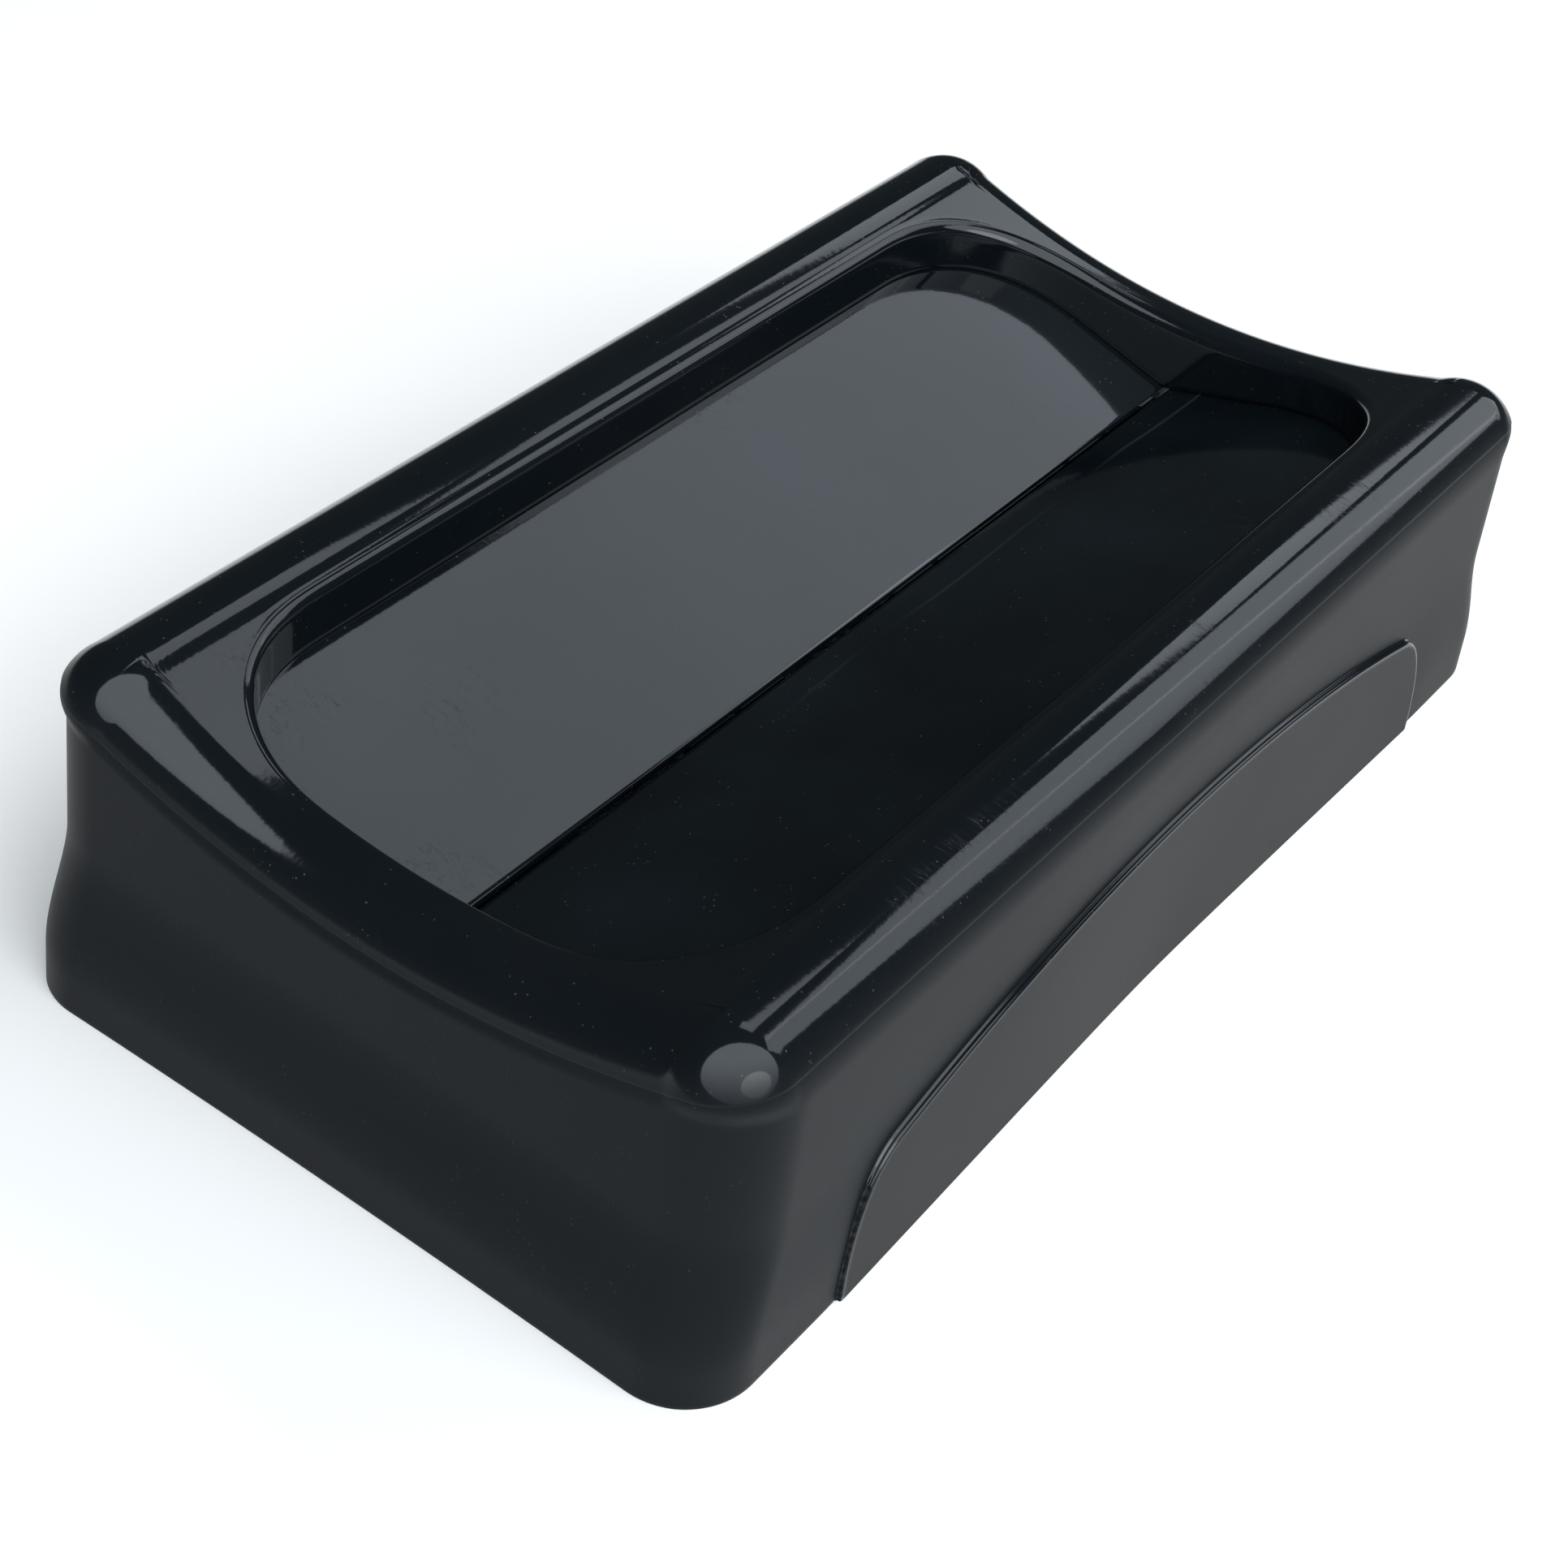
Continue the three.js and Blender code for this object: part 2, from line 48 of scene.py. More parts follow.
# ---------- sizes of the moulding, in millimetres ----------
MM = 0.001
BOTTOM_HALF = (260.0, 142.8)
TOP_HALF = (247.0, 139.3)
TOP_CORNER = 28.0
BOTTOM_CORNER = 27.0
WALL = 3.0
STEP_TOP = 62.0
STEP_BOTTOM = 15.0
STEP_OUT = (7.7, 1.6)  # how far the ends and the long sides widen below the step
CROWN = 129.0
ROLL = 22.6
BEAD = (225.4, 117.3, CROWN - ROLL)  # middle of the ball at each end of a long roll
END_ROLL = 18.5
SADDLE = 106.0
SADDLE_RISE = 0.00176
SEAM = 105.0  # where the trough of the top meets the long rolls
SEAM_SOFT = 0.16
LONG_BOW = (4.9, 200.0, 30.0)  # depth, half length and softness of the long sides' bow
END_BOW = (1.5, 130.0)  # depth and half length of the ends' bow
BOW_TOP = 100.0  # the sides are straight above this height
OPENING_HALF = (219.6, 100.6)
OPENING_CORNER = 61.8
OPENING_POWER = 2.4
LIP = (4.4, 4.9)  # how far the opening's lip reaches outwards and down
VALLEY = 77.0
SLOPE = 0.28
FLAP_THICK = 3.0
FLAP_GAP = 0.5
FLAP_REACH = 4.5
FLAP_HALF_GAP = 1.3
FLAP_RIM = (2.6, 6.0, 12.0)  # thickness, depth, and distance from the valley
RIB = (2.4, 6.0, 7.0)  # the same of the ribs
EAR = (120.0, 20.0, 116.0)  # place along the flap, width, and reach from the valley
ROD_RADIUS = 2.5
BORE_RADIUS = 2.85
KNUCKLE = (5.0, 24.0, 14.0)  # radius, length, and distance from the middle of its pair
KNUCKLE_PAIRS = (-180.0, -60.0, 60.0, 180.0)
SPRING = {"radius": 4.75, "wire": 0.6, "turns": 5, "pitch": 1.65, "leg": 30.0}
SPRING_X = 217.0
LUG = {"inner": 227.0, "outer": 236.0, "half": 12.0, "bottom": 58.0, "top": 101.0}
LUG_RIB = {"end": 246.0, "half": 1.5, "y": 10.5, "bottom": 62.0, "top": 87.0, "gusset": 83.0}
SCREW_Y = 7.6
THREAD = {"core": 1.18, "crest": 1.5, "pitch": 0.85, "start": 2.1, "end": 12.4}
WASHER_RADIUS = 6.0
POST = (4.0, 1.8, 125.4)  # radius, radius of its hole, and top of a bumper's post
POST_AT = (120, 110)
ARCH = {"half": 190.0, "shoulder": 165.0, "crown": 75.4, "radius": 640.0, "power": 2.6}
ARCH_FACE = (144.6, 0.030)  # the face's distance at the rim, and how much it leans in per height
ARCH_LEAN = 1.15  # the ledge over the panel falls by this from the wall outwards
ARCH_BEADS = (  # share of the way out along the ledge, and the height of its fine beads there
    (0.05, -0.2), (0.14, 0.02), (0.24, 0.12), (0.34, 0.04), (0.42, -0.14), (0.5, -0.16), (0.58, -0.04),
    (0.68, 0.08), (0.78, 0.06), (0.87, -0.05), (0.93, -0.18), (0.975, -0.38), (1.0, -0.7))
BALL_STEP = 0.3  # the ball at a roll's end stands this far over the roll
GLOSS_EDGE = (14.0, 27.0)  # degrees up the end rolls and the long rolls at which the satin ends
GLOSS_STEP = 0.3  # how far the satin lies under the gloss at that edge
ROD_LOW, ROD_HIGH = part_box("hinge_rod")
AXIS_Z = (ROD_LOW.z + ROD_HIGH.z) / 2 / MM
BUMPER_LOW, BUMPER_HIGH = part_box("rear_right_stop_bumper")
HALF_TURN = Matrix.Rotation(math.pi, 4, "Z")

END_STEPS, LONG_STEPS, CORNER_STEPS = 76, 84, 28


# ---------- modelling helpers ----------
def only(piece):
    """Makes piece the one selected and active object."""
    bpy.ops.object.select_all(action="DESELECT")
    piece.select_set(True)
    bpy.context.view_layer.objects.active = piece
    return piece


def modified(piece, kind, **settings):
    """Adds a modifier to a piece and applies it."""
    only(piece)
    modifier = piece.modifiers.new(kind.lower(), kind)
    for key, value in settings.items():
        setattr(modifier, key, value)
    bpy.ops.object.modifier_apply(modifier=modifier.name)
    return piece


def rounded(piece, width, segments=3, angle=35):
    """Softens the edges of a piece that are sharper than angle."""
    return modified(piece, "BEVEL", width=width * MM, segments=segments, limit_method="ANGLE",
                    angle_limit=math.radians(angle), use_clamp_overlap=True)


def smooth(piece, angle=38):
    only(piece)
    bpy.ops.object.shade_smooth_by_angle(angle=math.radians(angle))
    return piece


def joined(pieces):
    """Joins pieces into the first one."""
    only(pieces[0])
    for piece in pieces:
        piece.select_set(True)
    bpy.ops.object.join()
    return pieces[0]


def copied(piece, matrix):
    """A copy of a piece with its own mesh, moved by matrix."""
    twin = piece.copy()
    twin.data = piece.data.copy()
    twin.data.transform(matrix)
    bpy.context.scene.collection.objects.link(twin)
    return twin


def block(x, y, z, width=0.3):
    """A rectangular block with softened edges, between limits in millimetres."""
    bpy.ops.object.select_all(action="DESELECT")
    bpy.ops.mesh.primitive_cube_add(size=1)
    piece = bpy.context.object
    spans = [(low * MM, high * MM) for low, high in (x, y, z)]
    middle = Vector([(low + high) / 2 for low, high in spans])
    size = [high - low for low, high in spans]
    piece.data.transform(Matrix.Translation(middle) @ Matrix.Diagonal((*size, 1)))
    return rounded(piece, width) if width else piece


def started(count):
    """A circle in edit mode, all of it selected, whose points are numbered as stations."""
    bpy.ops.object.select_all(action="DESELECT")
    bpy.ops.mesh.primitive_circle_add(vertices=count, radius=0.1)
    piece = bpy.context.object
    bpy.ops.object.mode_set(mode="EDIT")
    bpy.ops.mesh.select_mode(type="EDGE")
    bpy.ops.mesh.select_all(action="SELECT")
    mesh = bmesh.from_edit_mesh(piece.data)
    station = mesh.verts.layers.int.new("station")
    mesh.verts.layers.float.new("gloss")
    mesh.verts.ensure_lookup_table()
    for vertex in mesh.verts:
        vertex[station] = vertex.index
    return piece


def placed(piece, row, marks=None):
    """Moves the selected points to their stations' places in a row, in millimetres."""
    mesh = bmesh.from_edit_mesh(piece.data)
    station = mesh.verts.layers.int["station"]
    gloss = mesh.verts.layers.float["gloss"]
    for vertex in mesh.verts:
        if vertex.select:
            vertex.co = Vector(row[vertex[station]]) * MM
            vertex[gloss] = 0.0 if marks is None else marks[vertex[station]]
    bmesh.update_edit_mesh(piece.data)


def ended(piece, threshold=None):
    """Merges points closer than threshold, turns the faces outwards and leaves edit mode."""
    if threshold:
        bpy.ops.mesh.select_all(action="SELECT")
        bpy.ops.mesh.remove_doubles(threshold=threshold)
    bpy.ops.mesh.select_all(action="SELECT")
    bpy.ops.mesh.normals_make_consistent(inside=False)
    bpy.ops.object.mode_set(mode="OBJECT")
    return piece


def loft(rows, ends="closed", marks=None):
    """Extrudes a circle course by course through rows of points, in millimetres.

    ends: closed joins the last course to the first, capped fills both.
    marks: the values of each course's points, kept in the attribute "gloss".
    """
    piece = started(len(rows[0]))
    capped = ends == "capped"
    if capped:
        bpy.ops.mesh.edge_face_add()
        bpy.ops.mesh.select_all(action="SELECT")
    extrude = bpy.ops.mesh.extrude_region_move if capped else bpy.ops.mesh.extrude_edges_move
    for number, row in enumerate(rows):
        if number:
            extrude()
        placed(piece, row, marks[number] if marks else None)
    return ended(piece, None if capped else 1e-7)


def turned(profile, place, along="Z", count=40):
    """Courses of a turned piece from (radius, height) pairs, round an axis through place."""
    angles = 2 * math.pi * np.arange(count) / count
    rows = []
    for radius, height in profile:
        across, up = radius * np.cos(angles), radius * np.sin(angles)
        flat = np.full(count, height)
        column = (flat, across, up) if along == "X" else (across, up, flat)
        rows.append(np.stack(column, axis=1) + np.array(place))
    return rows


# ---------- the shell's surface ----------
def plan(power):
    """Each station of a rounded rectangle as shares of half length, half width and corner."""
    rows = []
    for side in range(4):
        nx, ny = ((1, 0), (0, 1), (-1, 0), (0, -1))[side]
        tx, ty = -ny, nx
        steps = LONG_STEPS if side % 2 else END_STEPS
        for i in range(steps):
            share = -1 + 2 * i / steps
            along = 0.45 * share + 0.55 * math.sin(share * math.pi / 2)
            rows.append((nx + tx * along, -tx * along, ny + ty * along, -ty * along))
        for i in range(CORNER_STEPS):
            angle = math.pi / 2 * i / CORNER_STEPS
            c = math.cos(angle) ** (2 / power)
            s = math.sin(angle) ** (2 / power)
            rows.append((nx + tx, nx * c + tx * s - nx - tx, ny + ty, ny * c + ty * s - ny - ty))
    return np.array(rows).T


PLANS = {2.0: plan(2.0), OPENING_POWER: plan(OPENING_POWER)}


def ring(half_x, half_y, corner, power=2.0):
    """The stations' places on a rounded rectangle."""
    ax, cx, ay, cy = PLANS[power]
    return ax * half_x + cx * corner, ay * half_y + cy * corner


def opening_ring(out):
    """The stations' places on the opening's outline, moved outwards."""
    return ring(OPENING_HALF[0] + out, OPENING_HALF[1] + out, OPENING_CORNER + out, OPENING_POWER)


def ease(t):
    t = np.clip(t, 0, 1)
    return t * t * (3 - 2 * t)


def smooth_max(a, b, width):
    """The larger of two heights, blended where they differ by less than width."""
    blend = np.maximum(width - np.abs(a - b), 0) / width
    return np.maximum(a, b) + blend * blend * width / 4


def widening(z):
    """How far the skirt has widened at height z: 0 above the step, 1 below it."""
    return ease((STEP_TOP - z) / (STEP_TOP - STEP_BOTTOM))


def skirt_half(axis, z):
    draft = (BOTTOM_HALF[axis] - STEP_OUT[axis] - TOP_HALF[axis]) / (CROWN - ROLL)
    return TOP_HALF[axis] + draft * np.maximum(0, CROWN - ROLL - z) + STEP_OUT[axis] * widening(z)


def long_bow(x, z):
    depth, half, soft = LONG_BOW
    return depth * np.clip(1 - np.hypot(x, soft) / half, 0, 1) * np.clip(1 - z / BOW_TOP, 0, 1)


def skirt(z, inset):
    """The skirt's points at the stations' heights z, bowed inwards along its sides."""
    corner = TOP_CORNER + (BOTTOM_CORNER - TOP_CORNER) * widening(z) - inset
    half_x, half_y = skirt_half(0, z), skirt_half(1, z)
    x, y = ring(half_x - inset, half_y - inset, corner)
    end_bow = END_BOW[0] * np.clip(1 - (y / END_BOW[1]) ** 2, 0, 1) * np.clip(1 - z / BOW_TOP, 0, 1)
    is_long = ease((np.abs(y) - half_y + inset + 10) / 6)
    is_end = ease((np.abs(x) - half_x + inset + 10) / 6)
    return np.stack((x - np.sign(x) * end_bow * is_end, y - np.sign(y) * long_bow(x, z) * is_long, z), 1)


def sheet(y):
    """Height of the trough that the top sinks to between the long rolls."""
    rise = SADDLE + SADDLE_RISE * np.minimum(np.abs(y), SEAM) ** 2
    return rise + 0.2 * np.maximum(np.abs(y) - SEAM, 0)


def end_crown(y):
    return np.minimum(CROWN, SADDLE + SADDLE_RISE * y * y)


def top_height(x, y):
    """Height of the top, with its ball-ended long rolls."""
    distance = np.hypot(np.maximum(0, np.abs(x) - BEAD[0]), np.abs(y) - BEAD[1])
    bead = BEAD[2] + np.sqrt(np.maximum(0, ROLL ** 2 - distance ** 2))
    return smooth_max(np.where(distance < ROLL, bead, 0), sheet(y), SEAM_SOFT)


def bead_reach(start, ray):
    """How far rays from start run inside the ball-ended long rolls."""
    def beyond(t):
        x, y, z = (start + ray * t[:, None]).T
        past = np.maximum(0, np.abs(x) - BEAD[0])
        sideways = 1 - np.clip((z - BEAD[2]) / ROLL, 0, 1)
        collar = BALL_STEP * ease((np.abs(x) - BEAD[0] + 1.5) / 1.5) * sideways
        return np.sqrt(past ** 2 + (np.abs(y) - BEAD[1]) ** 2 + (z - BEAD[2]) ** 2) - ROLL - collar

    near = np.zeros(len(start))
    outside = beyond(near) > 0
    far = near + 2 * ROLL
    for _ in range(40):
        middle = (near + far) / 2
        inside = beyond(middle) < 0
        near, far = np.where(inside, middle, near), np.where(inside, far, middle)
    return np.where(outside, 0, near)


def shell_rows():
    """Courses of points that, closed on themselves, make the lid's wall, and their gloss."""
    x, y = ring(*TOP_HALF, TOP_CORNER)
    weight = np.clip(1 - (y / (TOP_HALF[1] - TOP_CORNER)) ** 2, 0, 1)
    is_end = np.abs(x) > TOP_HALF[0] - 0.01
    radius = ROLL - np.where(is_end, (ROLL - END_ROLL) * weight, 0)
    wall_top = end_crown(y) - radius
    centre = np.stack((*ring(TOP_HALF[0] - radius, TOP_HALF[1] - radius, TOP_CORNER - radius), wall_top), 1)
    out = np.stack((x, y), 1) - centre[:, :2]
    out /= np.linalg.norm(out, axis=1)[:, None]

    edge = GLOSS_EDGE[0] + (GLOSS_EDGE[1] - GLOSS_EDGE[0]) * np.abs(out[:, 1])
    spare = np.linalg.norm(skirt(wall_top, 0) - centre, axis=1) - radius

    def roll(share, inset=0.0):
        """Points round the roll: share is 0 at the wall, 1 at the edge of the gloss, 2 at the top."""
        angle = np.radians(np.where(share < 1, share * edge, edge + (share - 1) * (90 - edge)))
        ray = np.column_stack((out * np.cos(angle)[:, None], np.sin(angle)))
        held = float(ease(share))
        reach = radius + spare * (1 - held)
        reach = np.maximum(reach, reach + (bead_reach(centre, ray) - reach) * held)
        sunk = GLOSS_STEP * held if share < 1 else 0
        return centre + ray * (reach - sunk - inset)[:, None]

    lip_x, lip_y = opening_ring(LIP[0])
    mouth_x, mouth_y = opening_ring(0)
    back_x, back_y = opening_ring(WALL)
    lip_z = top_height(lip_x, lip_y)

    def top(t, down=0.0):
        px = centre[:, 0] + (lip_x - centre[:, 0]) * t
        py = centre[:, 1] + (lip_y - centre[:, 1]) * t
        return np.stack((px, py, top_height(px, py) - down), 1)

    def lip(degrees):
        angle = math.radians(degrees)
        across, down = math.sin(angle), (1 - math.cos(angle)) * LIP[1]
        px = lip_x + (mouth_x - lip_x) * across
        py = lip_y + (mouth_y - lip_y) * across
        return np.stack((px, py, lip_z - down), 1)

    def collar(t, at=(mouth_x, mouth_y)):
        bottom = VALLEY + SLOPE * np.abs(at[1])
        top_z = lip_z - LIP[1]
        return np.stack((at[0], at[1], bottom + (top_z - bottom) * t), 1)

    rows, gloss = [], []
    flat = np.full(len(out), 1.0)

    def add(made, value):
        rows.extend(made)
        gloss.extend([value * flat] * len(made))

    add([skirt(0 * flat, 0.5), skirt(0.15 * flat, 0.15), skirt(0.5 * flat, 0)], 0)
    add([skirt(wall_top * t, 0) for t in np.linspace(0.02, 0.985, 36)], 0)
    add([roll(share) for share in (0, 0.12, 0.25, 0.38, 0.5, 0.62, 0.74, 0.85, 0.94, 0.985)], 0)
    for share in (1.006, 1.02, *np.linspace(1.05, 2, 25)):
        add([roll(share)], 0.1 + 0.9 * float(ease((share - 1) / 0.45)))
    add([top(t) for t in np.linspace(0, 1, 15)[1:]], 1)
    add([lip(degrees) for degrees in range(10, 91, 10)], 1)
    add([collar(t) for t in (0.85, 0.6, 0.35, 0.12, 0.012)], 1)
    inner = [(mouth_x + (back_x - mouth_x) * t, mouth_y + (back_y - mouth_y) * t) for t in (0.13, 0.87)]
    add([collar(0, at) for at in inner], 1)
    back = (back_x, back_y)
    add([collar(t, back) for t in (0.012, 0.3, 0.6)], 0.3)
    add([np.stack((back_x, back_y, lip_z - WALL - 2.4), 1)], 0.3)
    add([np.stack((back_x * 1.004, back_y * 1.008, lip_z - WALL - 0.8), 1)], 0.3)
    add([top(t, WALL) for t in (0.8, 0.55, 0.3)], 0.3)
    add([roll(share, WALL) for share in np.linspace(2, 0, 11)], 0.3)
    add([skirt(wall_top * t, WALL) for t in np.linspace(0.95, 0.02, 20)], 0.3)
    add([skirt(0.5 * flat, WALL), skirt(0.15 * flat, WALL - 0.15), skirt(0 * flat, WALL - 0.5)], 0.3)
    rows.append(rows[0])
    gloss.append(gloss[0])
    return rows, gloss


def arch_outline():
    """Outline of the raised panel, over the arch from left to right, then back along the rim."""
    turn = np.linspace(math.pi / 2 - 0.05, 0, 26)
    past = np.sin(turn) ** (2 / ARCH["power"])
    shoulder_x = ARCH["shoulder"] + (ARCH["half"] - ARCH["shoulder"]) * past
    middle_x = np.linspace(-ARCH["shoulder"], ARCH["shoulder"], 92)[1:-1]
    x = np.concatenate((-shoulder_x, middle_x, shoulder_x[::-1]))
    share = np.concatenate((np.cos(turn), np.ones(len(middle_x)), np.cos(turn)[::-1]))
    z = (ARCH["crown"] - ARCH["radius"] + np.sqrt(ARCH["radius"] ** 2 - x ** 2)) * share
    return np.concatenate((x, x[::-1])), np.concatenate((z, 0 * z)), len(x)


def arch_panel(side):
    """The raised panel low on a long wall; side is -1 at the front and 1 at the back."""
    x, z, top = arch_outline()
    over_x, over_z = x[:top], z[:top]
    heading = np.arctan2(np.roll(over_z, -1) - np.roll(over_z, 1), np.roll(over_x, -1) - np.roll(over_x, 1))
    heading[0], heading[-1] = math.pi / 2, -math.pi / 2
    inward_x, inward_z = np.sin(heading), -np.cos(heading)

    def course(inset, share):
        """Points inset from the outline, share of the way out from the wall to the panel's face."""
        px, pz = x.copy(), z.copy()
        px[:top] += inward_x * inset
        pz[:top] += inward_z * inset
        px[top:] = px[:top][::-1]
        pz[top:] = max(inset * 0.35, 0)
        wall = skirt_half(1, pz) - long_bow(px, pz) - 0.6
        face = ARCH_FACE[0] - ARCH_FACE[1] * pz - long_bow(px, pz)
        y = wall + (face - wall) * share
        return np.stack((side * px, side * y, pz), 1)

    rows = [course(0.3 - ARCH_LEAN, 0)]
    rows += [course(-rise - ARCH_LEAN * (1 - share), share) for share, rise in ARCH_BEADS]
    rows += [course(1.2, 1), course(1.8, 1)]
    return loft_panel(rows, top, [0] + [1] * (len(rows) - 4) + [0.6, 0.2, 0])


def loft_panel(rows, top, marks):
    """Courses in from the wall, then the face drawn down from the arch to the rim."""
    piece = started(len(rows[0]))
    for number, (row, mark) in enumerate(zip(rows, marks)):
        if number:
            bpy.ops.mesh.extrude_edges_move()
        placed(piece, row, [mark] * len(row))
    last = rows[-1]
    mesh = bmesh.from_edit_mesh(piece.data)
    station = mesh.verts.layers.int["station"]
    for edge in mesh.edges:
        ends = [vertex[station] for vertex in edge.verts]
        edge.select_set(edge.select and max(ends) < top)
    bmesh.update_edit_mesh(piece.data)
    over, under = last[:top], last[top:][::-1]
    for share in (0.14, 0.32, 0.55, 0.8, 1.0):
        bpy.ops.mesh.extrude_edges_move()
        placed(piece, over + (under - over) * share)
    return ended(piece, 2e-6)


def cut(piece, cutters):
    """Cuts each of the cutters out of a piece and throws the cutters away."""
    for cutter in cutters:
        modified(piece, "BOOLEAN", object=cutter, operation="DIFFERENCE", solver="EXACT")
        bpy.data.objects.remove(cutter)
    return piece


def lug(side):
    """Lug for one end of the rod, its slot open below, with its ribs."""
    def span(low, high):
        return (low, high) if side > 0 else (-high, -low)

    x = span(LUG["inner"], LUG["outer"])
    body = block(x, (-LUG["half"], LUG["half"]), (LUG["bottom"], LUG["top"]), 0)
    through = turned([(BORE_RADIUS, x[0] - 1), (BORE_RADIUS, x[1] + 1)], (0, 0, AXIS_Z), "X")
    cutters = [loft(through, "capped")]
    cutters.append(block((x[0] - 1, x[1] + 1), (-BORE_RADIUS, BORE_RADIUS), (LUG["bottom"] - 1, AXIS_Z), 0))
    rounded(cut(body, cutters), 0.4)
    half, rib_z = LUG_RIB["half"], (LUG_RIB["bottom"], LUG_RIB["top"])
    ribs = [block(span(LUG["outer"] - 4, LUG_RIB["end"]), (y - half, y + half), rib_z, 0.4)
            for y in (-LUG_RIB["y"], LUG_RIB["y"])]
    gusset = block(span(OPENING_HALF[0] + 1.5, LUG["inner"] + 1), (-half, half),
                   (LUG_RIB["gusset"], LUG["top"]), 0.4)
    return joined([body, gusset, *ribs])


def bumper_post(x, y):
    bottom = BUMPER_LOW.z / MM + 2.7
    radius, hole, top = POST
    profile = [(hole, bottom + 0.3), (hole + 0.3, bottom), (radius - 0.3, bottom), (radius, bottom + 0.3),
               (radius, top), (hole, top), (hole, bottom + 0.3)]
    return loft(turned(profile, (x, y, 0), count=32))


# ---------- flaps ----------
def flap_outline(reach, start, count=34):
    """Outline of the rear flap from y = start, past the opening's outline by reach."""
    half = [value + reach for value in OPENING_HALF]
    corner = OPENING_CORNER + reach
    points = [(half[0], start)]
    for side in (1, -1):
        for i in range(count + 1):
            angle = math.pi / 2 * (i if side > 0 else count - i) / count
            points.append((side * (half[0] - corner + corner * math.cos(angle) ** (2 / OPENING_POWER)),
                           half[1] - corner + corner * math.sin(angle) ** (2 / OPENING_POWER)))
    points.append((-half[0], start))
    return np.array(points)


def flap_top(y):
    return VALLEY - FLAP_GAP + SLOPE * y


def tilt(piece):
    """Leans a flat piece, drawn with its top at height 0, to the flap's slope."""
    lean = Matrix.Identity(4)
    lean[2][1] = SLOPE
    lean[2][3] = (VALLEY - FLAP_GAP) * MM
    piece.data.transform(lean)
    return piece


def flap_plate():
    outline = flap_outline(FLAP_REACH, FLAP_HALF_GAP)
    rows = [np.column_stack((outline, np.full(len(outline), height))) for height in (-FLAP_THICK, 0)]
    plate = loft(rows, "capped")
    rounded(plate, 0.45, 3, 50)
    only(plate)
    bpy.ops.object.mode_set(mode="EDIT")
    bpy.ops.mesh.select_mode(type="FACE")
    bpy.ops.mesh.select_all(action="DESELECT")
    mesh = bmesh.from_edit_mesh(plate.data)
    for face in mesh.faces:
        face.select_set(abs(face.normal.z) > 0.99 and face.calc_area() > 0.01)
    bmesh.update_edit_mesh(plate.data)
    bpy.ops.mesh.inset(thickness=0.0012, use_individual=True)
    bpy.ops.object.mode_set(mode="OBJECT")
    return smooth(tilt(plate), 60)


def flap_rim():
    """Stiffening wall under the flap's edge."""
    thick, depth, start = FLAP_RIM
    outer = flap_outline(FLAP_REACH - 1, start)
    inner = flap_outline(FLAP_REACH - 1 - thick, start + thick)
    bottom = -FLAP_THICK - depth + 0.5
    soft = outer + (inner - outer) * 0.15, outer + (inner - outer) * 0.85

    def at(points, z):
        return np.column_stack((points, np.full(len(points), z)))

    rows = [at(outer, -2), at(outer, bottom + 0.4), at(soft[0], bottom), at(soft[1], bottom),
            at(inner, bottom + 0.4), at(inner, -2), at(outer, -2)]
    rim = loft(rows)
    return smooth(tilt(rim), 50)


def knuckle(centre):
    """Barrel round the rod, with the web that holds it to the flap."""
    radius, length, offset = KNUCKLE
    low, high = centre - offset - length / 2, centre - offset + length / 2
    profile = [(BORE_RADIUS, low + 0.3), (BORE_RADIUS + 0.3, low), (radius - 0.4, low),
               (radius, low + 0.4), (radius, high - 0.4), (radius - 0.4, high),
               (BORE_RADIUS + 0.3, high), (BORE_RADIUS, high - 0.3), (BORE_RADIUS, low + 0.3)]
    barrel = smooth(loft(turned(profile, (0, 0, AXIS_Z), "X", 44)))
    web = block((low, high), (FLAP_HALF_GAP + 1.7, 8), (AXIS_Z + 0.5, flap_top(2) - 1), 0.35)
    return joined([barrel, web])


def flap_pieces():
    edge = OPENING_HALF[1] + FLAP_REACH
    pieces = [flap_plate(), flap_rim()]
    for centre in KNUCKLE_PAIRS:
        middle = centre - KNUCKLE[2]
        x = (middle - RIB[0] / 2, middle + RIB[0] / 2)
        pieces.append(tilt(block(x, (RIB[2], edge - 3), (-FLAP_THICK - RIB[1] + 0.5, -2), 0.4)))
        pieces.append(knuckle(centre))
    for middle in (-EAR[0], EAR[0]):
        x = (middle - EAR[1] / 2, middle + EAR[1] / 2)
        pieces.append(tilt(block(x, (edge - 4, EAR[2]), (-FLAP_THICK, 0), 0.5)))
    return pieces


